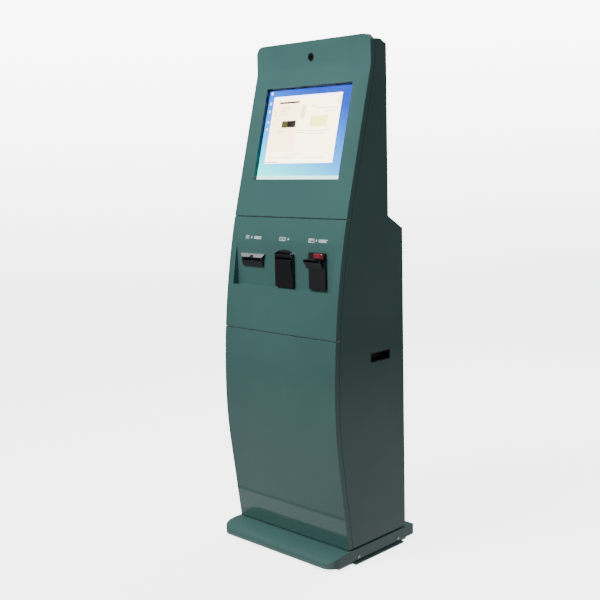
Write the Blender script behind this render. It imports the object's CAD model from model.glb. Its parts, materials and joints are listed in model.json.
# %% [markdown]
# # Looks for a payment kiosk
# The kiosk's steel cabinet, doors and devices come from the CAD frame, in metres, with the
# floor at z = 0 and the front facing -Y. This lesson gives each of them its real finish, and
# adds what a press brake, a mould or a printer leaves on the real thing: rolled edges, a lit
# picture on the display, pictograms, ribs, screws and lamps.

# %% Load the frame
import json
from math import cos, pi, radians, sin

import bmesh
import bpy
from mathutils import Matrix, Vector


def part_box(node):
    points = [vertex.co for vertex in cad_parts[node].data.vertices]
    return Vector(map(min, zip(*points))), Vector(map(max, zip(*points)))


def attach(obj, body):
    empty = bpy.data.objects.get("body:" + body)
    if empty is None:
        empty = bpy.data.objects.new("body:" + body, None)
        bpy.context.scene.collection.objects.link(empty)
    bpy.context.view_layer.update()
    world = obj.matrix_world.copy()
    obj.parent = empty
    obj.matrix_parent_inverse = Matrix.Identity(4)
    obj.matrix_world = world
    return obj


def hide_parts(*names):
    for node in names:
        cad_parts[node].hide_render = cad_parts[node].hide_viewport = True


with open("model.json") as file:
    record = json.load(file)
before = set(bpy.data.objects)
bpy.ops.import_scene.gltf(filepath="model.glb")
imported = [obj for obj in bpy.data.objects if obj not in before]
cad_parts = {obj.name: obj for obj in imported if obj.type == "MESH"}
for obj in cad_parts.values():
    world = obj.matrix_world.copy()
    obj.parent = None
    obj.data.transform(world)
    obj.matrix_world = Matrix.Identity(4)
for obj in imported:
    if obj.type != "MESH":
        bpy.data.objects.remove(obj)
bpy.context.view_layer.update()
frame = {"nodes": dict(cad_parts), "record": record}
bodies = frame["record"]["behaviour"]["bodies"]
node_body = {node: body for body, nodes in bodies.items() for node in nodes}
MM = 0.001

# %% [markdown]
# The studio camera stands at eye height, to the right of the kiosk, and looks a little
# down. The three angles turn a camera that looks along +Y: first round to the kiosk, then
# down, then a small roll. A long lens keeps the tall sides nearly parallel.

# %% Camera
CAMERA_AT = Vector((2.2053, -2.3257, 1.2843))
CAMERA_TURN, CAMERA_DOWN, CAMERA_ROLL = radians(44.2), radians(8.34), radians(-1.44)
SENSOR, LENS = 36.0, 58.78

forward = Vector((-sin(CAMERA_TURN) * cos(CAMERA_DOWN), cos(CAMERA_TURN) * cos(CAMERA_DOWN),
                  -sin(CAMERA_DOWN)))
level = Vector((cos(CAMERA_TURN), sin(CAMERA_TURN), 0.0))
above = level.cross(forward)
right_hand = level * cos(CAMERA_ROLL) + above * sin(CAMERA_ROLL)
upward = above * cos(CAMERA_ROLL) - level * sin(CAMERA_ROLL)

camera_data = bpy.data.cameras.new("studio_camera")
camera_data.sensor_width = SENSOR
camera_data.lens = LENS
camera = bpy.data.objects.new("studio_camera", camera_data)
camera.matrix_world = Matrix.Translation(CAMERA_AT) @ Matrix(
    (right_hand, upward, -forward)).transposed().to_4x4()
bpy.context.collection.objects.link(camera)
bpy.context.scene.camera = camera
print("camera looks along", [round(c, 3) for c in forward])

# %% [markdown]
# Colours are written as sRGB hex, the way a paint chart gives them, and one function turns
# them to the linear values that a shader adds and multiplies. One more function adds a node
# with its settings and links, so that every material below reads as a short list.


# %% Colour and node helpers
def linear(hex_colour, alpha=1.0):
    """sRGB hex such as "4f7f7a" as a linear RGBA tuple."""
    channels = [int(hex_colour[i:i + 2], 16) / 255 for i in (0, 2, 4)]
    curve = [c / 12.92 if c <= 0.04045 else ((c + 0.055) / 1.055) ** 2.4 for c in channels]
    return (*curve, alpha)


def add_node(tree, kind, settings=None, links=None):
    """Add one node; a setting is an input's value or the node's own option."""
    node = tree.nodes.new(kind)
    for name, value in (settings or {}).items():
        if isinstance(name, int) or name in node.inputs:
            node.inputs[name].default_value = value
        else:
            setattr(node, name, value)
    for name, source in (links or {}).items():
        tree.links.new(source, node.inputs[name])
    return node


def new_material(name, base, roughness, metallic=0.0, **shader):
    """Principled material; returns it with its node tree and shader node."""
    material = bpy.data.materials.new(name)
    material.use_nodes = True
    material.diffuse_color = linear(base)
    tree = material.node_tree
    principled = tree.nodes["Principled BSDF"]
    principled.inputs["Base Color"].default_value = linear(base)
    principled.inputs["Roughness"].default_value = roughness
    principled.inputs["Metallic"].default_value = metallic
    for option, value in shader.items():
        socket = option.replace("_", " ").title().replace("Ior", "IOR")
        principled.inputs[socket].default_value = value
    return material, tree, principled


def object_noise(tree, size_mm, detail=2.0, stretch=(1.0, 1.0, 1.0)):
    """Noise in the object's own metres, with grains about so many millimetres wide."""
    place = add_node(tree, "ShaderNodeTexCoord")
    mapping = add_node(tree, "ShaderNodeMapping", {"Scale": stretch},
                       {"Vector": place.outputs["Object"]})
    return add_node(tree, "ShaderNodeTexNoise", {"Scale": 1 / (size_mm * MM), "Detail": detail},
                    {"Vector": mapping.outputs["Vector"]})


def bump_from(tree, height, depth_mm, target, strength=1.0):
    """Bump whose full height is so many millimetres, into a shader's normal."""
    bump = add_node(tree, "ShaderNodeBump", {"Strength": strength, "Distance": depth_mm * MM},
                    {"Height": height})
    for shader, socket in target:
        tree.links.new(bump.outputs["Normal"], shader.inputs[socket])
    return bump


def ramp(tree, source, stops, interpolation="LINEAR"):
    """Colour ramp from a list of (position, linear colour)."""
    node = add_node(tree, "ShaderNodeValToRGB", links={"Fac": source})
    node.color_ramp.interpolation = interpolation
    while len(node.color_ramp.elements) < len(stops):
        node.color_ramp.elements.new(0.5)
    for element, (position, colour) in zip(node.color_ramp.elements, stops):
        element.position = position
        element.color = colour
    return node


print("mid teal in linear:", [round(c, 3) for c in linear("4f7f7a")])

# %% [markdown]
# The cabinet is folded sheet steel, sprayed with a gloss two-pack enamel in a grey teal. The
# pigment layer is satin and a hard clear skin lies over it, so the enamel is a coated shader:
# the coat mirrors the plinth and the floor almost sharply. It dries with a slight orange
# peel, waves about 7 mm wide and a hundredth of a millimetre deep that bend those reflections
# a little, and its colour drifts by a shade over a panel. Floor dust greys the lowest 120 mm.


# %% Gloss enamel
SATIN, SATIN_SPREAD = 0.36, (0.33, 0.4)
PEEL_WIDTH_MM, PEEL_DEPTH_MM = 7, 0.012
DUST_TOP = 120 * MM


def gloss_enamel(name, colour, shade, dusty):
    """Sprayed enamel; dusty is how much floor dust greys its lowest part."""
    material, tree, principled = new_material(name, colour, SATIN, coat_weight=1.0,
                                              coat_roughness=0.025, coat_ior=1.5,
                                              specular_ior_level=0.15)
    drift = object_noise(tree, 260, detail=3.0)
    tone = ramp(tree, drift.outputs["Fac"], [(0.35, linear(colour)), (0.65, linear(shade))])
    place = add_node(tree, "ShaderNodeTexCoord")
    height = add_node(tree, "ShaderNodeSeparateXYZ", links={"Vector": place.outputs["Object"]})
    low = add_node(tree, "ShaderNodeMapRange",
                   {"From Min": 0.0, "From Max": DUST_TOP, "To Min": dusty, "To Max": 0.0},
                   {"Value": height.outputs["Z"]})
    specks = object_noise(tree, 9, detail=6.0)
    dust = add_node(tree, "ShaderNodeMath", {"operation": "MULTIPLY"},
                    {0: low.outputs["Result"], 1: specks.outputs["Fac"]})
    mixed = add_node(tree, "ShaderNodeMix", {"data_type": "RGBA"})
    tree.links.new(dust.outputs["Value"], mixed.inputs["Factor"])
    tree.links.new(tone.outputs["Color"], mixed.inputs["A"])
    mixed.inputs["B"].default_value = linear("7f938d")
    tree.links.new(mixed.outputs["Result"], principled.inputs["Base Color"])
    gloss = object_noise(tree, 180, detail=2.0)
    spread = add_node(tree, "ShaderNodeMapRange",
                      {"To Min": SATIN_SPREAD[0], "To Max": SATIN_SPREAD[1]},
                      {"Value": gloss.outputs["Fac"]})
    tree.links.new(spread.outputs["Result"], principled.inputs["Roughness"])
    peel = object_noise(tree, PEEL_WIDTH_MM, detail=1.0)
    bump_from(tree, peel.outputs["Fac"], PEEL_DEPTH_MM,
              [(principled, "Normal"), (principled, "Coat Normal")])
    return material


teal_enamel = gloss_enamel("teal_gloss_enamel", "46706c", "426a67", 0.25)
teal_side_enamel = gloss_enamel("teal_gloss_enamel_sides", "446d69", "406763", 0.25)
print("enamels:", teal_enamel.name, teal_side_enamel.name)

# %% [markdown]
# The devices wear black ABS. Bezels come out of a spark-eroded mould with a fine leathery
# grain, which keeps them matte; the note hood is polished. Both are nearly black, never
# fully, because plastic scatters a little light.


# %% Black plastics
def moulded_abs(name, colour, roughness, grain_mm, grain_depth_mm):
    """ABS with the mould's grain."""
    material, tree, principled = new_material(name, colour, roughness, ior=1.54)
    grain = object_noise(tree, grain_mm, detail=2.0)
    bump_from(tree, grain.outputs["Fac"], grain_depth_mm, [(principled, "Normal")])
    rub = object_noise(tree, 35, detail=4.0)
    sheen = add_node(tree, "ShaderNodeMapRange",
                     {"To Min": roughness * 0.8, "To Max": min(1.0, roughness * 1.2)},
                     {"Value": rub.outputs["Fac"]})
    tree.links.new(sheen.outputs["Result"], principled.inputs["Roughness"])
    return material


black_abs = moulded_abs("black_abs_fine_grain", "17181a", 0.45, 1.2, 0.04)
polished_abs = moulded_abs("black_abs_polished", "101114", 0.16, 6.0, 0.01)
navy_abs = moulded_abs("navy_screen_bezel_abs", "0e1626", 0.4, 1.2, 0.03)
grey_abs = moulded_abs("grey_abs", "4a4c50", 0.5, 1.2, 0.04)
print("plastics:", black_abs.name, polished_abs.name, navy_abs.name, grey_abs.name)

# %% [markdown]
# Bare metals: zinc-coated sheet inside, brushed stainless on the paper lip and hinges, chrome
# on screws and locks, satin aluminium on cooling fins and brass on the pins of the mains
# inlet. Brushing is noise stretched along the stroke, its lines drawn 0.8 mm apart, coarser
# than real ones, so that they still show. Zinc shows crystals some 9 mm wide.


# %% Bare metals
ZINC_CRYSTAL_MM = 9


def brushed_metal(name, colour, roughness, stroke_mm, stretch):
    """Metal with fine parallel scratches along the axis that stretch shrinks."""
    material, tree, principled = new_material(name, colour, roughness, metallic=1.0)
    lines = object_noise(tree, stroke_mm, detail=3.0, stretch=stretch)
    spread = add_node(tree, "ShaderNodeMapRange",
                      {"To Min": roughness * 0.75, "To Max": roughness * 1.25},
                      {"Value": lines.outputs["Fac"]})
    tree.links.new(spread.outputs["Result"], principled.inputs["Roughness"])
    bump_from(tree, lines.outputs["Fac"], 0.02, [(principled, "Normal")])
    return material


def zinc_sheet(name):
    """Hot-dip zinc: crystals in slightly different greys."""
    material, tree, principled = new_material(name, "9fa3a6", 0.45, metallic=1.0)
    place = add_node(tree, "ShaderNodeTexCoord")
    crystals = add_node(tree, "ShaderNodeTexVoronoi", {"Scale": 1 / (ZINC_CRYSTAL_MM * MM)},
                        {"Vector": place.outputs["Object"]})
    grey = add_node(tree, "ShaderNodeSeparateColor", links={"Color": crystals.outputs["Color"]})
    tone = ramp(tree, grey.outputs["Red"], [(0.0, linear("9a9ea1")), (1.0, linear("b4b8bb"))])
    tree.links.new(tone.outputs["Color"], principled.inputs["Base Color"])
    spread = add_node(tree, "ShaderNodeMapRange", {"To Min": 0.35, "To Max": 0.55},
                      {"Value": grey.outputs["Green"]})
    tree.links.new(spread.outputs["Result"], principled.inputs["Roughness"])
    return material


zinc = zinc_sheet("zinc_coated_sheet")
stainless = brushed_metal("brushed_stainless", "bfc1c4", 0.42, 0.8, (0.03, 1.0, 1.0))
chrome = brushed_metal("bright_chrome_plate", "d9dadb", 0.08, 3.0, (1.0, 1.0, 1.0))
aluminium = brushed_metal("satin_aluminium", "b9bcc0", 0.35, 0.8, (1.0, 0.05, 1.0))
brass = brushed_metal("brass_pins", "c9a24b", 0.25, 0.8, (1.0, 0.05, 1.0))
print("metals:", zinc.name, stainless.name, chrome.name, aluminium.name, brass.name)

# %% [markdown]
# The rest: nitrile rubber with a dull dusty skin, thermal paper, plain brown board, white
# screen ink, clear float glass, coated lens glass, smoked polycarbonate, and a red polycarbonate
# lamp cover that glows faintly from a diode behind it.


# %% Rubber, paper, ink, glass and lamp
def rubber_skin(name):
    """Nitrile rubber, dull, with a faint bloom."""
    material, tree, principled = new_material(name, "1d1d1e", 0.75)
    bloom = object_noise(tree, 12, detail=5.0)
    tone = ramp(tree, bloom.outputs["Fac"], [(0.35, linear("161617")), (0.75, linear("2b2b2c"))])
    tree.links.new(tone.outputs["Color"], principled.inputs["Base Color"])
    bump_from(tree, bloom.outputs["Fac"], 0.05, [(principled, "Normal")])
    return material


def paper_stock(name, colour, dark, pale):
    """Paper or board: smooth, with short fibres in two shades."""
    material, tree, principled = new_material(name, colour, 0.6, sheen_weight=0.1)
    fibres = object_noise(tree, 2.0, detail=6.0)
    tone = ramp(tree, fibres.outputs["Fac"], [(0.3, linear(dark)), (0.7, linear(pale))])
    tree.links.new(tone.outputs["Color"], principled.inputs["Base Color"])
    bump_from(tree, fibres.outputs["Fac"], 0.02, [(principled, "Normal")])
    return material


def screen_ink(name):
    """White ink, a thin film with slightly uneven cover."""
    material, tree, principled = new_material(name, "eef3f3", 0.4)
    cover = object_noise(tree, 4.0, detail=3.0)
    tone = ramp(tree, cover.outputs["Fac"], [(0.3, linear("eef6f6")), (0.6, linear("fbffff"))])
    tree.links.new(tone.outputs["Color"], principled.inputs["Base Color"])
    return material


def clear_glass(name, tint, roughness):
    """Float glass with the faint smear that fingers leave on a touch screen."""
    material, tree, principled = new_material(name, tint, roughness, transmission_weight=1.0,
                                              ior=1.5)
    smear = object_noise(tree, 45, detail=5.0)
    spread = add_node(tree, "ShaderNodeMapRange",
                      {"From Min": 0.45, "From Max": 0.8,
                       "To Min": roughness, "To Max": roughness + 0.03},
                      {"Value": smear.outputs["Fac"]})
    tree.links.new(spread.outputs["Result"], principled.inputs["Roughness"])
    return material


def lamp_cover(name, colour, glow):
    """Translucent polycarbonate over a diode: brightest where the diode sits."""
    material, tree, principled = new_material(name, colour, 0.12, coat_weight=1.0,
                                              coat_roughness=0.03, ior=1.58)
    cloud = object_noise(tree, 14, detail=1.0)
    tone = ramp(tree, cloud.outputs["Fac"], [(0.3, linear(colour)), (0.7, linear("96172f"))])
    tree.links.new(tone.outputs["Color"], principled.inputs["Base Color"])
    tree.links.new(tone.outputs["Color"], principled.inputs["Emission Color"])
    principled.inputs["Emission Strength"].default_value = glow
    return material


rubber = rubber_skin("nitrile_rubber")
paper = paper_stock("thermal_paper", "ece9e1", "e3dfd5", "f2f0ea")
core_board = paper_stock("unbleached_core_board", "a88a66", "94775a", "b59a78")
white_ink = screen_ink("white_screen_ink")
touch_glass = clear_glass("clear_float_glass", "f4f8f8", 0.0)
lens_glass = clear_glass("coated_lens_glass", "2a2c3a", 0.02)
red_lamp = lamp_cover("red_polycarbonate_lamp", "5e0a1d", 0.1)
smoke_guide = clear_glass("smoke_polycarbonate_guide", "8f9ba0", 0.22)
print("others:", [material.name for material in (
    rubber, paper, core_board, white_ink, touch_glass, lens_glass, red_lamp, smoke_guide)])

# %% [markdown]
# Every CAD node keeps its own shape, and first gets the finish of what it's made of.

# %% Finishes of the CAD nodes
finishes = {
    teal_enamel: ["head_fascia", "device_panel", "lower_front_panel", "plinth_cover", "top_cover"],
    teal_side_enamel: ["left_side_panel", "right_side_panel", "rear_slope_panel",
                       "lower_rear_door", "upper_rear_door", "floor_angles"],
    zinc: ["floor_plate", "upper_rail", "middle_rail", "base_plate", "base_beams",
           "monitor_housing", "monitor_brackets", "printer_body", "device_shelf", "power_supply"],
    black_abs: ["left_grip_cup", "right_grip_cup", "webcam_housing", "printer_bezel",
                "acceptor_body", "cash_box", "reader_bezel", "fan_frame", "fan_rotor",
                "power_inlet", "computer_case"],
    polished_abs: ["acceptor_bezel", "rocker_switch", "lcd_panel"],
    navy_abs: ["screen_bezel"],
    grey_abs: ["printer_lid", "roll_spindle", "feed_button", "reader_body"],
    stainless: ["printer_lip", "frame_hinge_leaves", "lower_door_leaves", "upper_door_leaves"],
    chrome: ["plinth_screws", "hinge_pins", "lower_lock_barrel", "upper_lock_barrel",
             "lower_lock_cam", "upper_lock_cam", "power_button"],
    rubber: ["base_gasket", "platen_roller", "upper_feed_roller", "lower_feed_roller"],
    paper: ["paper_roll"],
    white_ink: ["device_labels"],
    touch_glass: ["touch_glass"],
    lens_glass: ["webcam_lens"],
    red_lamp: ["reader_lamp"],
}
finish_of = {node: material for material, nodes in finishes.items() for node in nodes}
for node, material in finish_of.items():
    mesh = frame["nodes"][node].data
    mesh.materials.clear()
    mesh.materials.append(material)
print(len(finish_of), "of", len(frame["nodes"]), "nodes have a finish")

# %% [markdown]
# A CAD sheet has knife edges, but a press brake and a spray gun leave every edge round, and
# the eye finds an edge by the thin highlight on it. So each visible casing is copied, its
# split corners are welded, its sharp edges are rolled to a small radius in millimetres, and
# the copy stands for the CAD node. Weighted normals keep the flats flat beside the rolled
# edge. The lamp cover is moulded, so its edges get a much larger radius than folded steel.


# %% Rolled edges
def roll_edges(node, radius_mm, segments=2, sharp_from=25):
    """A copy of a CAD node with its sharp edges rolled; it stands for the node."""
    source = frame["nodes"][node]
    mesh = source.data.copy()
    work = bmesh.new()
    work.from_mesh(mesh)
    bmesh.ops.remove_doubles(work, verts=work.verts, dist=1e-6)
    bmesh.ops.dissolve_limit(work, angle_limit=radians(0.2), verts=work.verts, edges=work.edges)
    sharp = [e for e in work.edges
             if len(e.link_faces) == 2 and e.calc_face_angle(0.0) > radians(sharp_from)]
    bmesh.ops.bevel(work, geom=sharp, offset=radius_mm * MM, segments=segments, profile=0.5,
                    affect="EDGES", clamp_overlap=True)
    work.to_mesh(mesh)
    work.free()
    mesh.polygons.foreach_set("use_smooth", [True] * len(mesh.polygons))
    mesh.set_sharp_from_angle(angle=radians(40))
    piece = bpy.data.objects.new(node + "_finished", mesh)
    bpy.context.collection.objects.link(piece)
    flat = piece.modifiers.new("flat_faces", "WEIGHTED_NORMAL")
    flat.keep_sharp = True
    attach(piece, node_body[node])
    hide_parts(node)
    return piece


rolled = {}
for radius, nodes in {
    0.7: ["head_fascia", "device_panel", "lower_front_panel", "left_side_panel",
          "right_side_panel", "top_cover", "rear_slope_panel"],
    0.9: ["plinth_cover", "lower_rear_door", "upper_rear_door", "floor_angles"],
    0.6: ["left_grip_cup", "right_grip_cup", "printer_bezel", "acceptor_bezel", "reader_bezel"],
    0.4: ["printer_lip", "screen_bezel"],
    3.0: ["reader_lamp"],
}.items():
    for node in nodes:
        rolled[node] = roll_edges(node, radius)
print("rolled:", {name: len(piece.data.polygons) for name, piece in rolled.items()})

# %% [markdown]
# The display shows a desktop: a blue ground that turns cyan towards the lower left, one large
# pale document window, and a light bar along the bottom. An LCD is a backlight behind colour
# cells, so each area gets an emissive material. All areas lie in one sheet, cut along the
# edges of every rectangle, in the hair's breadth between the glass and the LCD.


# %% Backlit LCD colours
GRADIENT_LEAN, GRADIENT_LOW, GRADIENT_HIGH = 0.35, 1.16, 1.5
CYAN_BOOST = 2.6


def backlit(name, colour, strength, edge=None):
    """Light through LCD cells; edge is a second colour low and to the left."""
    material, tree, principled = new_material(name, "050608", 0.35)
    cells = object_noise(tree, 60, detail=1.0)
    near = ramp(tree, cells.outputs["Fac"], [(0.2, linear(colour)), (0.8, linear(edge or colour))])
    if edge:
        place = add_node(tree, "ShaderNodeTexCoord")
        split = add_node(tree, "ShaderNodeSeparateXYZ", links={"Vector": place.outputs["Object"]})
        lean = add_node(tree, "ShaderNodeMath", {"operation": "MULTIPLY_ADD", 1: GRADIENT_LEAN},
                        {0: split.outputs["X"], 2: split.outputs["Z"]})
        along = add_node(tree, "ShaderNodeMapRange",
                         {"From Min": GRADIENT_LOW, "From Max": GRADIENT_HIGH},
                         {"Value": lean.outputs["Value"]})
        near = ramp(tree, along.outputs["Result"],
                    [(0.0, linear(edge)), (0.45, linear("2a9cff")), (1.0, linear(colour))])
        power = add_node(tree, "ShaderNodeMapRange",
                         {"To Min": CYAN_BOOST * strength, "To Max": strength},
                         {"Value": along.outputs["Result"]})
        tree.links.new(power.outputs["Result"], principled.inputs["Emission Strength"])
    else:
        principled.inputs["Emission Strength"].default_value = strength
    tree.links.new(near.outputs["Color"], principled.inputs["Emission Color"])
    return material


lcd_colours = {
    "desk": backlit("lcd_blue_desktop", "1e55ea", 1.7, edge="3cf5e6"),
    "sheet": backlit("lcd_cream_page", "ffe9bf", 9.0),
    "margin": backlit("lcd_warm_margin", "ffdcb4", 8.0),
    "title": backlit("lcd_title_bar", "ece6ff", 8.0),
    "band": backlit("lcd_task_bar", "c4f0e4", 4.2),
    "yellow": backlit("lcd_yellow_note", "faf58a", 6.0),
    "straw": backlit("lcd_straw_column", "f4e79a", 5.5),
    "grey": backlit("lcd_grey_lines", "d9cdbb", 3.0),
    "dark": backlit("lcd_dark_banner", "3a3022", 0.5),
    "olive": backlit("lcd_olive_picture", "8a8434", 0.9),
    "white": backlit("lcd_white_icons", "e8f4ff", 3.6),
}
print("LCD colours:", len(lcd_colours))

# %% [markdown]
# Each rectangle is placed by shares of the picture's width, from the left, and of its height,
# from the top: left, top, right, bottom. Later rectangles cover earlier ones, as windows do.
# One list holds them all, and a single mesh is cut along every edge in it, so that no two
# areas lie on top of each other and flicker.

# %% Display picture
screen_areas = [("desk", 0, 0, 1, 1), ("band", 0, 0.962, 1, 1),
                ("title", 0.068, 0.072, 0.878, 0.825),
                ("sheet", 0.078, 0.1, 0.87, 0.818), ("margin", 0.078, 0.1, 0.4, 0.7),
                ("straw", 0.42, 0.18, 0.475, 0.33), ("yellow", 0.55, 0.31, 0.75, 0.43),
                ("yellow", 0.84, 0.1, 0.87, 0.2), ("dark", 0.147, 0.135, 0.388, 0.155),
                ("olive", 0.21, 0.35, 0.28, 0.425), ("dark", 0.28, 0.35, 0.38, 0.425),
                ("grey", 0.078, 0.803, 0.225, 0.815)]
screen_areas += [("grey", 0.17, v, 0.17 + w, v + 0.006)
                 for v, w in ((0.19, 0.1), (0.212, 0.12), (0.234, 0.08), (0.27, 0.1), (0.46, 0.1))]
screen_areas += [("grey", 0.1, v, 0.125, v + 0.01) for v in (0.24, 0.28, 0.36)]
screen_areas += [("grey", u, v, u + w, v + 0.006)
                 for u, v, w in ((0.6, 0.225, 0.24), (0.7, 0.265, 0.15), (0.55, 0.2, 0.05),
                                 (0.54, 0.47, 0.25), (0.54, 0.5, 0.2), (0.41, 0.46, 0.09),
                                 (0.41, 0.485, 0.09), (0.4, 0.72, 0.1), (0.1, 0.755, 0.12),
                                 (0.27, 0.755, 0.15), (0.56, 0.76, 0.22))]
screen_areas += [("white", 0.02, v, 0.045, v + 0.028) for v in (0.015, 0.13, 0.22, 0.34, 0.42)]
screen_areas += [("white", u, 0.97, u + 0.02, 0.99) for u in (0.02, 0.05, 0.95)]
PICTURE_LIFT, PICTURE_MARGIN = 0.15 * MM, 1.0 * MM


def facing_face(node, direction):
    """Centre, normal and corners of a CAD node's face that faces a direction most."""
    mesh = frame["nodes"][node].data
    flats = sorted(mesh.polygons,
                   key=lambda face: (round(face.normal.dot(direction), 3), face.area))
    best = flats[-1]
    same = [face for face in mesh.polygons
            if face.normal.dot(best.normal) > 0.9999
            and abs((face.center - best.center).dot(best.normal)) < 1e-5]
    corners = {tuple(round(c, 7) for c in mesh.vertices[i].co)
               for face in same for i in face.vertices}
    points = [Vector(corner) for corner in corners]
    centre = Vector([(min(p[i] for p in points) + max(p[i] for p in points)) / 2
                     for i in range(3)])
    return centre, best.normal.copy(), points


def new_piece(name, mesh, body, material, smooth=True):
    """Object for a finished mesh, which rides on a body."""
    mesh.materials.append(material)
    mesh.polygons.foreach_set("use_smooth", [smooth] * len(mesh.polygons))
    piece = bpy.data.objects.new(name, mesh)
    bpy.context.collection.objects.link(piece)
    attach(piece, body)
    return piece


def build_picture():
    """One sheet of cells in front of the LCD, each cell with its area's colour."""
    centre, normal, points = facing_face("lcd_panel", Vector((0, -1, 0.2)))
    across = Vector((1, 0, 0))
    down = across.cross(normal).normalized()
    if down.z > 0:
        down.negate()
    half_across = max((p - centre).dot(across) for p in points) - PICTURE_MARGIN
    half_down = max((p - centre).dot(down) for p in points) - PICTURE_MARGIN
    us = sorted({u for area in screen_areas for u in (area[1], area[3])})
    vs = sorted({v for area in screen_areas for v in (area[2], area[4])})
    names = list(lcd_colours)
    sheet = bmesh.new()
    rows = [[sheet.verts.new(centre + normal * PICTURE_LIFT + across * (2 * u - 1) * half_across
                             + down * (2 * v - 1) * half_down) for u in us] for v in vs]
    for j in range(len(vs) - 1):
        for i in range(len(us) - 1):
            u, v = (us[i] + us[i + 1]) / 2, (vs[j] + vs[j + 1]) / 2
            covers = [name for name, left, top, right, bottom in screen_areas
                      if left < u < right and top < v < bottom]
            face = sheet.faces.new((rows[j][i], rows[j + 1][i],
                                    rows[j + 1][i + 1], rows[j][i + 1]))
            face.material_index = names.index(covers[-1])
    sheet.normal_update()
    mesh = bpy.data.meshes.new("display_picture")
    sheet.to_mesh(mesh)
    sheet.free()
    for name in names[:-1]:
        mesh.materials.append(lcd_colours[name])
    return new_piece("display_picture", mesh, "cabinet", lcd_colours[names[-1]], smooth=False)


picture = build_picture()
print("display picture:", len(picture.data.polygons), "cells")

# %% [markdown]
# White screen-printed pictograms above the devices say what each one takes: a receipt slip, a
# banknote and a card. Screen ink is a film, so each stroke is a thin flat bar on the panel's
# face. The printed field's corners come from the CAD plates, which the strokes stand for.


# %% Pictogram strokes
def stroke(points, width=1.3):
    """Flat bars along a line of points, in millimetres from the field's centre."""
    bars = []
    for (x0, z0), (x1, z1) in zip(points, points[1:]):
        run = Vector((x1 - x0, z1 - z0)).normalized()
        reach, side = run * width / 2, Vector((-run.y, run.x)) * width / 2
        start, end = Vector((x0, z0)) - reach, Vector((x1, z1)) + reach
        bars.append([start - side, end - side, end + side, start + side])
    return bars


def outline(x0, z0, x1, z1, width=1.3):
    """Rectangle drawn in four bars that meet at the corners without overlap."""
    return (stroke([(x0, z0), (x1, z0)], width) + stroke([(x0, z1), (x1, z1)], width)
            + stroke([(x0, z0 + width), (x0, z1 - width)], width)
            + stroke([(x1, z0 + width), (x1, z1 - width)], width))


def solid(x0, z0, x1, z1):
    """Filled rectangle."""
    return [[Vector((x0, z0)), Vector((x1, z0)), Vector((x1, z1)), Vector((x0, z1))]]


def disc(x, z, radius, sides=20):
    """Filled round spot."""
    return [[Vector((x + radius * cos(2 * pi * k / sides), z + radius * sin(2 * pi * k / sides)))
             for k in range(sides)]]


def arrow(x, z, dx, dz, size=3.4):
    """Solid arrow head with a short shaft behind it."""
    tip, back = Vector((x, z)), Vector((dx, dz))
    side = Vector((-dz, dx))
    head = [tip + back * size, tip - side * size, tip + side * size]
    shaft = [tip - side * size * 0.35, tip - side * size * 0.35 - back * size,
             tip + side * size * 0.35 - back * size, tip + side * size * 0.35]
    return [head, shaft]


slip = (solid(-38, 3.8, -22, 5.6) + stroke([(-36.8, 2.6), (-36.8, -5.0)], 1.6)
        + stroke([(-23.2, 2.6), (-23.2, -5.0)], 1.6) + solid(-34, 0.8, -26, 2.2)
        + solid(-34, -1.8, -26, -0.4) + solid(-34, -4.4, -29, -3.0))
lines = solid(2, 2.2, 38, 4.2) + solid(2, -1.0, 32, 1.0) + solid(2, -4.2, 36, -2.2)
note = (outline(-24, -5.0, 2, 5.0, 1.6) + disc(-11, 0, 2.8)
        + solid(-20.4, -0.8, -17.4, 0.8) + solid(-4.6, -0.8, -1.6, 0.8))
card = (outline(-40, -5.4, -18, 5.4, 1.6) + solid(-38.4, 0.8, -19.6, 3.2)
        + solid(-37, -3.4, -30, -1.6) + solid(2, 2.2, 40, 4.2)
        + solid(2, -1.0, 33, 1.0) + solid(2, -4.2, 37, -2.2))
pictograms = [slip + arrow(-10, 0, 0, -1, 4.2) + lines, note + arrow(15, 0, 0, -1, 4.2),
              card + arrow(-8, 0, 0, -1, 4.2)]
print("strokes:", [len(group) for group in pictograms])

# %% [markdown]
# Drawn flat, the strokes still have to be laid on the panel. They lean with it, line up with
# the middle of each plate in the CAD, and get the film's thickness: a front, a back and walls.
# The film is drawn a little thicker than real ink, so that its edge catches light.

# %% Print the pictograms
INK_THICKNESS, PANEL_SETBACK = 0.12 * MM, 0.4 * MM


def build_pictograms():
    """All strokes as one thin mesh that follows the lean of the panel."""
    plates = frame["nodes"]["device_labels"].data
    points = [v.co for v in plates.vertices]
    low, high = min(p.z for p in points), max(p.z for p in points)
    spans = sorted({round(p.x, 5) for p in points})
    y_low = min(p.y for p in points if p.z < low + 1e-4)
    y_high = min(p.y for p in points if p.z > high - 1e-4)
    lean = (y_high - y_low) / (high - low)
    ink = bmesh.new()
    for group, (left, right) in zip(pictograms, zip(spans[0::2], spans[1::2])):
        for shape in group:
            layers = []
            for lift in (PANEL_SETBACK, PANEL_SETBACK - INK_THICKNESS):
                layers.append([ink.verts.new((
                    (left + right) / 2 + p.x * MM,
                    y_low + (p.y * MM + (high - low) / 2) * lean + lift,
                    (low + high) / 2 + p.y * MM)) for p in shape])
            ink.faces.new(layers[1])
            for k in range(len(shape)):
                j = (k + 1) % len(shape)
                ink.faces.new((layers[0][k], layers[0][j], layers[1][j], layers[1][k]))
            ink.faces.new(list(reversed(layers[0])))
    bmesh.ops.recalc_face_normals(ink, faces=ink.faces)
    mesh = bpy.data.meshes.new("pictograms")
    ink.to_mesh(mesh)
    ink.free()
    piece = new_piece("pictograms", mesh, "cabinet", white_ink, smooth=False)
    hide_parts("device_labels")
    return piece


pictogram_piece = build_pictograms()
print("pictograms:", len(pictogram_piece.data.polygons), "faces")

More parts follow.
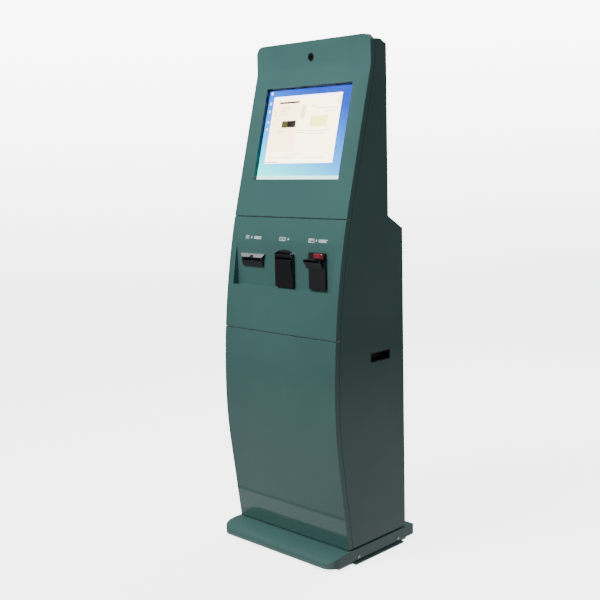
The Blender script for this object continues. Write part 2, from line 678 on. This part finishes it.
# %% [markdown]
# Small round parts are turned or headed on a machine, so one helper spins a half outline
# around an axis. A pan-head screw also needs its cross recess. Cutting one with a boolean
# leaves ragged faces, so the head is built from the recess outwards: a cross-shaped floor,
# walls up to the same cross in the crown, and rings from there out to the round rim.


# %% Turned parts
CROWN_SHARE, RECESS_TAPER, RECESS_FLOOR = 0.9, 0.8, 0.3


def frame_of(axis):
    """Two directions across an axis, for building round things about it."""
    across = axis.orthogonal().normalized()
    return across, axis.cross(across)


def spin_profile(target, centre, axis, profile, sides=32):
    """Faces from (radius, height) pairs spun about an axis; a zero radius closes an end."""
    across, along = frame_of(axis)
    rings = []
    for radius, height in profile:
        if radius < 1e-9:
            rings.append([target.verts.new(centre + axis * height)])
            continue
        rings.append([target.verts.new(centre + axis * height + radius * (
            across * cos(2 * pi * k / sides) + along * sin(2 * pi * k / sides)))
            for k in range(sides)])
    for low, high in zip(rings, rings[1:]):
        for k in range(sides):
            j = (k + 1) % sides
            corners = [low[k % len(low)], low[j % len(low)],
                       high[j % len(high)], high[k % len(high)]]
            unique = list(dict.fromkeys(corners))
            if len(unique) > 2:
                target.faces.new(unique)


def pan_head(target, centre, axis, radius, height, arm=0.62, slot=0.16, turn=0.0):
    """Domed screw head with a cross recess, standing on centre along axis."""
    across, along = frame_of(axis)
    a = across * cos(turn) + along * sin(turn)
    b = along * cos(turn) - across * sin(turn)
    far, near = arm * radius, slot * radius
    cross = [(far, -near), (far, near), (near, near), (near, far),
             (-near, far), (-near, near), (-far, near), (-far, -near),
             (-near, -near), (-near, -far), (near, -far), (near, -near)]
    crown = height * CROWN_SHARE

    def lift(u, v):
        away = min(1.0, (u * u + v * v) ** 0.5 / radius)
        return crown + (height - crown) * (1 - away ** 2)

    top = [target.verts.new(centre + a * u + b * v + axis * lift(u, v)) for u, v in cross]
    deep = [target.verts.new(centre + (a * u + b * v) * RECESS_TAPER
                             + axis * height * RECESS_FLOOR) for u, v in cross]
    rim = []
    for share, level in ((0.86, crown), (0.97, crown * 0.8), (1.0, crown * 0.5), (1.0, 0.0)):
        ring = []
        for u, v in cross:
            spot = Vector((u, v)).normalized() * radius * share
            ring.append(target.verts.new(centre + a * spot.x + b * spot.y + axis * level))
        rim.append(ring)
    count = len(cross)
    for low, high in zip([deep, top] + rim, [top] + rim):
        for k in range(count):
            j = (k + 1) % count
            target.faces.new((low[k], low[j], high[j], high[k]))
    target.faces.new(deep)
    target.faces.new(list(reversed(rim[-1])))


def finish_mesh(name, work, body, material, sharp=35):
    """Close the work mesh into a piece with its creases kept sharp."""
    bmesh.ops.recalc_face_normals(work, faces=work.faces)
    mesh = bpy.data.meshes.new(name)
    work.to_mesh(mesh)
    work.free()
    piece = new_piece(name, mesh, body, material)
    mesh.set_sharp_from_angle(angle=radians(sharp))
    return piece


print("helpers for turned parts ready")

# %% [markdown]
# The plinth cover is held by four chromed pan-head screws. Their places come from the CAD
# screws' own box, and each gets its own turn, because a fitter stops where the screw is tight.

# %% Plinth screws
HEAD_RADIUS, HEAD_HEIGHT, SHANK_RADIUS = 5.5 * MM, 2.5 * MM, 2.9 * MM
TIP_RADIUS, SHANK_START, SHANK_END, TIP_END = 2.4 * MM, 0.2 * MM, 4.4 * MM, 4.9 * MM
FITTER_TURNS = (0.3, 1.1, 0.75, 0.1)


def build_plinth_screws():
    """Four screws with crossed heads, standing for the CAD screws."""
    low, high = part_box("plinth_screws")
    work = bmesh.new()
    places = [(s, y) for s in (-1, 1) for y in (low[1] + HEAD_RADIUS, high[1] - HEAD_RADIUS)]
    for (side, y), turn in zip(places, FITTER_TURNS):
        axis = Vector((side, 0, 0))
        seat = Vector((side * (high[0] - HEAD_HEIGHT), y, (low[2] + high[2]) / 2))
        pan_head(work, seat, axis, HEAD_RADIUS, HEAD_HEIGHT, turn=turn)
        spin_profile(work, seat, -axis,
                     [(0, SHANK_START), (SHANK_RADIUS, SHANK_START), (SHANK_RADIUS, SHANK_END),
                      (TIP_RADIUS, TIP_END), (0, TIP_END)])
    piece = finish_mesh("plinth_pan_screws", work, "cabinet", chrome)
    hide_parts("plinth_screws")
    return piece


plinth_screw_piece = build_plinth_screws()
print("plinth screws:", len(plinth_screw_piece.data.polygons), "faces")

# %% [markdown]
# Each butt hinge is fixed with two screws a leaf. They show on the rear, so every leaf gets
# its own two heads, and the door's heads ride on the door. A leaf lies deeper than the round
# knuckle beside it, and the two halves of the cabinet stand at different depths.

# %% Hinge screws
HINGE_HEAD_RADIUS, HINGE_HEAD_HEIGHT, SCREW_STEP = 3.3 * MM, 1.3 * MM, 19.0 * MM
KNUCKLE_DEPTH, DOOR_LEAF_SHIFT, FRAME_LEAF_INSET = 6.3 * MM, 4 * MM, 9 * MM
hinge_heights = {"lower": (0.2, 0.5735, 0.947), "upper": (1.194, 1.51)}


def build_door_hinge_screws(name, leaves, body, heights):
    """Two crossed heads on each leaf of one door, standing on the leaf's rear face."""
    low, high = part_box(leaves)
    work = bmesh.new()
    for count, height in enumerate(heights):
        for step in (-SCREW_STEP, SCREW_STEP):
            seat = Vector(((low[0] + high[0]) / 2 + DOOR_LEAF_SHIFT,
                           high[1] - KNUCKLE_DEPTH, height + step))
            pan_head(work, seat, Vector((0, 1, 0)), HINGE_HEAD_RADIUS, HINGE_HEAD_HEIGHT,
                     turn=0.4 + 0.7 * count + step * 30)
    return finish_mesh(name, work, body, chrome)


def build_frame_hinge_screws():
    """Heads on the frame's own leaves: the lower body lies further back than the head."""
    work = bmesh.new()
    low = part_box("frame_hinge_leaves")[0]
    lower_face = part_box("lower_door_leaves")[1][1] - KNUCKLE_DEPTH
    upper_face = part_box("upper_door_leaves")[1][1] - KNUCKLE_DEPTH
    for face, heights in ((lower_face, hinge_heights["lower"]),
                          (upper_face, hinge_heights["upper"])):
        for count, height in enumerate(heights):
            for step in (-SCREW_STEP, SCREW_STEP):
                seat = Vector((low[0] + FRAME_LEAF_INSET, face, height + step))
                pan_head(work, seat, Vector((0, 1, 0)), HINGE_HEAD_RADIUS, HINGE_HEAD_HEIGHT,
                         turn=1.2 - 0.5 * count + step * 20)
    return finish_mesh("frame_hinge_screws", work, "cabinet", chrome)


screws = [build_door_hinge_screws("lower_door_hinge_screws", "lower_door_leaves", "lower_door",
                                  hinge_heights["lower"]),
          build_door_hinge_screws("upper_door_hinge_screws", "upper_door_leaves", "upper_door",
                                  hinge_heights["upper"]),
          build_frame_hinge_screws()]
print("hinge screws:", [piece.name for piece in screws])

# %% [markdown]
# The three pins of the mains inlet are brass blades with rounded tips, sleeved over the CAD
# pins. A block with its edges rounded is enough at that size.


# %% Blocks with rounded edges
PIN_PLACES_MM = ((-7, -1.5), (0, 2.5), (7, -1.5))
PIN_HALF_WIDTH, PIN_HALF_HEIGHT, PIN_EDGE = 1.1 * MM, 2.1 * MM, 0.5 * MM
PIN_ROOT, PIN_TIP = 17.9 * MM, 3.6 * MM


def soft_block(target, low, high, radius, segments=2):
    """Box between two corners with rounded edges, added to a bmesh."""
    made = bmesh.ops.create_cube(target, size=1.0)["verts"]
    for vert in made:
        vert.co = Vector([low[i] if vert.co[i] < 0 else high[i] for i in range(3)])
    edges = list({edge for vert in made for edge in vert.link_edges})
    bmesh.ops.bevel(target, geom=edges, offset=radius, segments=segments, profile=0.5,
                    affect="EDGES", clamp_overlap=True)


def build_inlet_pins():
    """Brass blades in the socket of the inlet."""
    low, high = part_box("power_inlet")
    socket_x, middle_z = low[0] + 20 * MM, (low[2] + high[2]) / 2
    work = bmesh.new()
    for pin_x, pin_z in PIN_PLACES_MM:
        x, z = socket_x + pin_x * MM, middle_z + pin_z * MM
        soft_block(work, (x - PIN_HALF_WIDTH, high[1] - PIN_ROOT, z - PIN_HALF_HEIGHT),
                   (x + PIN_HALF_WIDTH, high[1] - PIN_TIP, z + PIN_HALF_HEIGHT), PIN_EDGE)
    return finish_mesh("inlet_pins", work, "cabinet", brass, sharp=50)


inlet_pins = build_inlet_pins()
print("inlet pins:", len(inlet_pins.data.polygons), "faces")

# %% [markdown]
# A smoked polycarbonate strip follows the arch around the note mouth and carries light to
# show where the note goes in. It's a bar swept along the arch, and its front follows the
# hood, a hair in front of it.


# %% Note guide strip
GUIDE_HALF_WIDTH, GUIDE_HALF_BAR, GUIDE_DEPTH, ARCH_STEPS = 34.2 * MM, 0.9 * MM, 5.8 * MM, 24
RIM_BEHIND, SHOULDER_DOWN, ARCH_DOWN = 10 * MM, 12 * MM, 5.2 * MM
# how far below the shoulder each point of a leg lies, and how proud of the rim, in mm
GUIDE_LEG_MM = ((13, 3.1), (6, 2.5), (0, 0.6))
ARCH_PROUD_MM = -1.0


def build_note_guide():
    """Arched bar between the acceptor's rim and its hood."""
    low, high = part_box("acceptor_bezel")
    middle, rim_y = (low[0] + high[0]) / 2, high[1] - RIM_BEHIND
    half, side_z = GUIDE_HALF_WIDTH, high[2] - SHOULDER_DOWN
    top_z = high[2] - ARCH_DOWN
    rise = top_z - side_z
    bend = (half ** 2 + rise ** 2) / (2 * rise)
    path = [(-half, side_z - down * MM, proud) for down, proud in GUIDE_LEG_MM]
    for step in range(1, ARCH_STEPS):
        x = -half + 2 * half * step / ARCH_STEPS
        path.append((x, top_z - bend + (bend ** 2 - x ** 2) ** 0.5, ARCH_PROUD_MM))
    path += [(half, side_z - down * MM, proud) for down, proud in reversed(GUIDE_LEG_MM)]
    work = bmesh.new()
    rings = []
    for k, (x, z, proud) in enumerate(path):
        before, after = path[max(k - 1, 0)], path[min(k + 1, len(path) - 1)]
        along = Vector((after[0] - before[0], after[1] - before[1])).normalized()
        side = Vector((-along.y, along.x)) * GUIDE_HALF_BAR
        front, back = rim_y - proud * MM, rim_y + GUIDE_DEPTH
        section = [(1, back), (1, front + 0.4 * MM), (0.5, front), (-0.5, front),
                   (-1, front + 0.4 * MM), (-1, back)]
        rings.append([work.verts.new((middle + x + side.x * share, y, z + side.y * share))
                      for share, y in section])
    for first, second in zip(rings, rings[1:]):
        for k in range(len(first)):
            j = (k + 1) % len(first)
            work.faces.new((first[k], first[j], second[j], second[k]))
    work.faces.new(rings[0])
    work.faces.new(list(reversed(rings[-1])))
    return finish_mesh("note_guide", work, "cabinet", smoke_guide, sharp=50)


note_guide = build_note_guide()
print("note guide:", len(note_guide.data.polygons), "faces")

# %% [markdown]
# Behind the rear door sits a fanless computer. Its lid is a row of aluminium cooling fins,
# and its back has ports; both are made of small rounded blocks, placed from the case's box.


# %% Computer fins and ports
FIN_PITCH, FIN_THICKNESS, FIN_HEIGHT = 10 * MM, 3 * MM, 9 * MM
FIN_SIDE_MARGIN, FIN_END_MARGIN = 20 * MM, 8 * MM
PORT_SIZES_MM = ((16, 13), (16, 13), (14, 7), (14, 7), (14, 15), (14, 15), (32, 11), (9, 9))
FIRST_PORT, PORT_GAP_MM = 18 * MM, 8


def build_case_fins():
    """Cooling fins from front to back on the computer's top."""
    low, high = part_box("computer_case")
    work = bmesh.new()
    count = int((high[0] - low[0] - FIN_SIDE_MARGIN) / FIN_PITCH)
    start = (low[0] + high[0]) / 2 - (count - 1) * FIN_PITCH / 2
    for k in range(count):
        x = start + k * FIN_PITCH
        soft_block(work, (x - FIN_THICKNESS / 2, low[1] + FIN_END_MARGIN, high[2] - 0.5 * MM),
                   (x + FIN_THICKNESS / 2, high[1] - FIN_END_MARGIN, high[2] + FIN_HEIGHT),
                   0.8 * MM, segments=1)
    return finish_mesh("computer_fins", work, "cabinet", aluminium, sharp=50)


def build_case_ports():
    """Sockets in a row on the computer's rear face: a collar, and a tongue inside it."""
    low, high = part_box("computer_case")
    work = bmesh.new()
    x, middle = low[0] + FIRST_PORT, (low[2] + high[2]) / 2
    for width, tall in PORT_SIZES_MM:
        soft_block(work, (x, high[1] - 1 * MM, middle - tall / 2 * MM),
                   (x + width * MM, high[1] + 0.8 * MM, middle + tall / 2 * MM),
                   0.4 * MM, segments=1)
        soft_block(work, (x + 2 * MM, high[1] + 0.5 * MM, middle - (tall / 2 - 2) * MM),
                   (x + (width - 2) * MM, high[1] + 1.1 * MM, middle + (tall / 2 - 4) * MM),
                   0.2 * MM, segments=1)
        x += (width + PORT_GAP_MM) * MM
    return finish_mesh("computer_ports", work, "cabinet", zinc, sharp=50)


case_pieces = [build_case_fins(), build_case_ports()]
print("computer:", {piece.name: len(piece.data.polygons) for piece in case_pieces})

# %% [markdown]
# Last, small fittings that show when a door stands open, and the ring in front of the camera
# lens. Louvres on the monitor's back are thin raised bars. The power supply breathes through
# wire rings, and the paper is wound on a board core, which turns with the roll.


# %% Louvres, wire rings, core and lens ring
LOUVRE_ROWS, LOUVRE_PITCH_MM, FIRST_LOUVRE_MM = 14, 7, 20
LOUVRE_GROUP_X, LOUVRE_HALF, LOUVRE_BAR = 95 * MM, 55 * MM, 3 * MM
GRILLE_RADII_MM, WIRE_HALF_MM = (8, 15, 22, 29, 36), 0.8
SUNK = 0.1 * MM


def build_louvres():
    """Two groups of raised bars on the sloping back of the monitor housing."""
    centre, normal, points = facing_face("monitor_housing", Vector((0, 1, -0.2)))
    across = Vector((1, 0, 0))
    upward_slope = across.cross(normal).normalized()
    if upward_slope.z < 0:
        upward_slope.negate()
    place = Matrix((across, normal, upward_slope)).transposed().to_4x4()
    place.translation = centre
    work = bmesh.new()
    for side in (-1, 1):
        for row in range(LOUVRE_ROWS):
            x, z = side * LOUVRE_GROUP_X, (row * LOUVRE_PITCH_MM + FIRST_LOUVRE_MM) * MM
            soft_block(work, (x - LOUVRE_HALF, -0.4 * MM, z),
                       (x + LOUVRE_HALF, 1.4 * MM, z + LOUVRE_BAR), 0.6 * MM, segments=1)
    bmesh.ops.transform(work, matrix=place, verts=work.verts)
    return finish_mesh("monitor_louvres", work, "cabinet", zinc, sharp=50)


def build_rings(name, body, material, rings, axis):
    """Flat rings: each is a centre, an inner and an outer radius and a thickness in mm."""
    work = bmesh.new()
    for centre, inner, outer, thick in rings:
        edge = 0.25 * min(thick, outer - inner)
        profile = [(inner, 0), (inner, thick - edge), (inner + edge, thick), (outer - edge, thick),
                   (outer, thick - edge), (outer, 0), (inner, 0)]
        spin_profile(work, Vector(centre), axis, [(r * MM, h * MM) for r, h in profile], sides=40)
    bmesh.ops.remove_doubles(work, verts=work.verts, dist=1e-7)
    return finish_mesh(name, work, body, material)


supply_low, supply_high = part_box("power_supply")
supply_top = ((supply_low[0] + supply_high[0]) / 2, (supply_low[1] + supply_high[1]) / 2,
              supply_high[2] - SUNK)
roll_low, roll_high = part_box("paper_roll")
roll_end = (roll_high[0] - SUNK, (roll_low[1] + roll_high[1]) / 2,
            (roll_low[2] + roll_high[2]) / 2)
lens_low, lens_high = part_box("webcam_lens")
lens_front = (0, lens_low[1] + SUNK, (lens_low[2] + lens_high[2]) / 2)
grille_rings = [(supply_top, r - WIRE_HALF_MM, r + WIRE_HALF_MM, 1.5) for r in GRILLE_RADII_MM]
fittings = [
    build_louvres(),
    build_rings("supply_grille", "cabinet", chrome, grille_rings, Vector((0, 0, 1))),
    build_rings("roll_core", "roll", core_board, [(roll_end, 6.3, 10.0, 0.35)],
                Vector((1, 0, 0))),
    build_rings("lens_ring", "cabinet", polished_abs, [(lens_front, 5.2, 8.8, 0.9)],
                Vector((0, -1, 0))),
]
print("fittings:", {piece.name: len(piece.data.polygons) for piece in fittings})

# %% [markdown]
# The studio starts with a pale floor that sweeps up into a backdrop, which glows a little
# more with height. A gloss finish shows its surroundings, so what it mirrors is set apart
# from what lies behind it: the bright sweep is hidden from mirror and bounce rays. Cards that
# only mirror rays see stand for the room that the enamel reflects: a glowing disc on the
# floor, a dim wall around it, and a bright board with a dimmer edge just before the plinth,
# which puts the pale band on the plinth's rounded nose.


# %% Studio surfaces
GLOW_FROM, GLOW_TO, GLOW_RISE = 0.3, 2.4, 2.2


def plain_paint(name, colour, glow):
    """Matte paint for the sweep, with a faint roller texture and its own glow."""
    material, tree, principled = new_material(name, colour, 0.9)
    roller = object_noise(tree, 30, detail=3.0)
    bump_from(tree, roller.outputs["Fac"], 0.1, [(principled, "Normal")])
    principled.inputs["Emission Color"].default_value = linear(colour)
    place = add_node(tree, "ShaderNodeTexCoord")
    split = add_node(tree, "ShaderNodeSeparateXYZ", links={"Vector": place.outputs["Object"]})
    rise = add_node(tree, "ShaderNodeMapRange",
                    {"From Min": GLOW_FROM, "From Max": GLOW_TO,
                     "To Min": glow, "To Max": GLOW_RISE * glow},
                    {"Value": split.outputs["Z"]})
    tree.links.new(rise.outputs["Result"], principled.inputs["Emission Strength"])
    return material


def room_glow(name, start, end, near, far, upright):
    """Light that changes from near to far with distance from the middle, or with height."""
    material = bpy.data.materials.new(name)
    material.use_nodes = True
    tree = material.node_tree
    tree.nodes.clear()
    place = add_node(tree, "ShaderNodeTexCoord")
    if upright:
        split = add_node(tree, "ShaderNodeSeparateXYZ", links={"Vector": place.outputs["Object"]})
        reach = split.outputs["Z"]
    else:
        length = add_node(tree, "ShaderNodeVectorMath", {"operation": "LENGTH"},
                          {"Vector": place.outputs["Object"]})
        reach = length.outputs["Value"]
    fade = add_node(tree, "ShaderNodeMapRange",
                    {"From Min": start, "From Max": end, "To Min": near, "To Max": far},
                    {"Value": reach})
    glow = add_node(tree, "ShaderNodeEmission", links={"Strength": fade.outputs["Result"]})
    add_node(tree, "ShaderNodeOutputMaterial", links={"Surface": glow.outputs["Emission"]})
    return material


print("studio finishes ready")

# %% [markdown]
# The set's shapes are plain sheets, which need no thickness. The sweep stands square to the
# camera's view, so that its curve never shows as a line, and the cards lie a hair above the
# floor, where a studio would put white boards. They are marked as part of the stage, so
# that they aren't exported with the kiosk.

# %% Sweep and mirror cards
SWEEP_HALF, SWEEP_FRONT, SWEEP_BACK, SWEEP_RADIUS, SWEEP_TOP = 9.0, -8.0, 4.5, 1.5, 5.0
SWEEP_GLOW, CURVE_STEPS = 4.2, 12
ROOM_RADIUS, ROOM_HEIGHT, ROOM_SIDES = 5.0, 4.5, 48
BOARD_HALF = 0.5


def stage_object(name, points, faces, material):
    """Part of the set: linked, shaded smooth and marked as no part of the kiosk."""
    mesh = bpy.data.meshes.new(name)
    mesh.from_pydata(points, [], faces)
    mesh.polygons.foreach_set("use_smooth", [True] * len(faces))
    mesh.materials.append(material)
    item = bpy.data.objects.new(name, mesh)
    bpy.context.collection.objects.link(item)
    return item


def build_sweep():
    """Floor and backdrop in one sheet, square to the camera's view."""
    profile = [(SWEEP_FRONT, 0.0), (SWEEP_BACK - SWEEP_RADIUS, 0.0)]
    for step in range(1, CURVE_STEPS + 1):
        turn = step * pi / (2 * CURVE_STEPS)
        profile.append((SWEEP_BACK - SWEEP_RADIUS + SWEEP_RADIUS * sin(turn),
                        SWEEP_RADIUS * (1 - cos(turn))))
    profile.append((SWEEP_BACK, SWEEP_TOP))
    along = Vector((forward.x, forward.y, 0)).normalized()
    across = Vector((along.y, -along.x, 0))
    points = [along * reach + across * side + Vector((0, 0, height))
              for reach, height in profile for side in (-SWEEP_HALF, SWEEP_HALF)]
    faces = [(2 * row, 2 * row + 1, 2 * row + 3, 2 * row + 2) for row in range(len(profile) - 1)]
    return stage_object("sweep", points, faces, plain_paint("pale_sweep", "f3f4f5", SWEEP_GLOW))


sweep = build_sweep()
sweep.visible_glossy = False
sweep.visible_diffuse = False
turns = [2 * pi * k / ROOM_SIDES for k in range(ROOM_SIDES)]
rim = [(ROOM_RADIUS * cos(turn), ROOM_RADIUS * sin(turn)) for turn in turns]
wall_faces = [(k, (k + 1) % ROOM_SIDES, ROOM_SIDES + (k + 1) % ROOM_SIDES, ROOM_SIDES + k)
              for k in range(ROOM_SIDES)]
mirror_cards = [
    stage_object("mirror_floor", [(x, y, 0.5 * MM) for x, y in rim], [tuple(range(ROOM_SIDES))],
                 room_glow("floor_glow", 0.4, 3.6, 0.62, 0.2, upright=False)),
    stage_object("mirror_wall", [(x, y, z) for z in (0.0, ROOM_HEIGHT) for x, y in rim],
                 wall_faces, room_glow("wall_glow", 0.2, 2.2, 0.22, 0.14, upright=True)),
]
nose_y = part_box("plinth_cover")[0][1]
for name, start, end, glow in (("mirror_board", 0.0, 0.085, 0.95),
                               ("mirror_board_edge", 0.085, 0.1, 0.3)):
    corners = [(-BOARD_HALF, nose_y - start, 1 * MM), (BOARD_HALF, nose_y - start, 1 * MM),
               (BOARD_HALF, nose_y - end, 1 * MM), (-BOARD_HALF, nose_y - end, 1 * MM)]
    board_glow = room_glow(name + "_glow", 0.0, 1.0, glow, glow, upright=False)
    mirror_cards.append(stage_object(name, corners, [(0, 1, 2, 3)], board_glow))
for card in mirror_cards:
    card.visible_camera = card.visible_diffuse = card.visible_shadow = False
    card.visible_transmission = False
print("set:", sweep.name, [card.name for card in mirror_cards])

# %% [markdown]
# A large soft light hangs high in front, as from a ceiling, and a weaker one behind keeps the
# tops and the rear readable. The sides get little more than the dim grey surround, so they
# read much darker than the front. What the camera sees past the sweep is far brighter than
# the surround that lights the kiosk, so that every view has the same pale ground.


# %% Lights
def soft_light(name, place, target, size, power):
    """Square area light that looks at a target."""
    data = bpy.data.lights.new(name, "AREA")
    data.shape = "SQUARE"
    data.size = size
    data.energy = power
    light = bpy.data.objects.new(name, data)
    light.location = place
    light.rotation_euler = (Vector(target) - Vector(place)).to_track_quat("-Z", "Y").to_euler()
    bpy.context.collection.objects.link(light)
    return light


def build_surround(colour, lighting, seen):
    """World that lights the scene dimly and looks bright to the camera."""
    world = bpy.data.worlds.new("surround")
    world.use_nodes = True
    tree = world.node_tree
    background = tree.nodes["Background"]
    background.inputs["Color"].default_value = linear(colour)
    ray = add_node(tree, "ShaderNodeLightPath")
    strength = add_node(tree, "ShaderNodeMapRange", {"To Min": lighting, "To Max": seen},
                        {"Value": ray.outputs["Is Camera Ray"]})
    tree.links.new(strength.outputs["Result"], background.inputs["Strength"])
    bpy.context.scene.world = world


soft_light("key_softbox", (-0.5, -2.1, 3.6), (0, 0, 0.6), size=1.1, power=136)
soft_light("back_softbox", (-0.15, 3.0, 2.6), (0, 0, 0.9), size=1.4, power=85)
build_surround("c9ced1", lighting=0.38, seen=5.0)
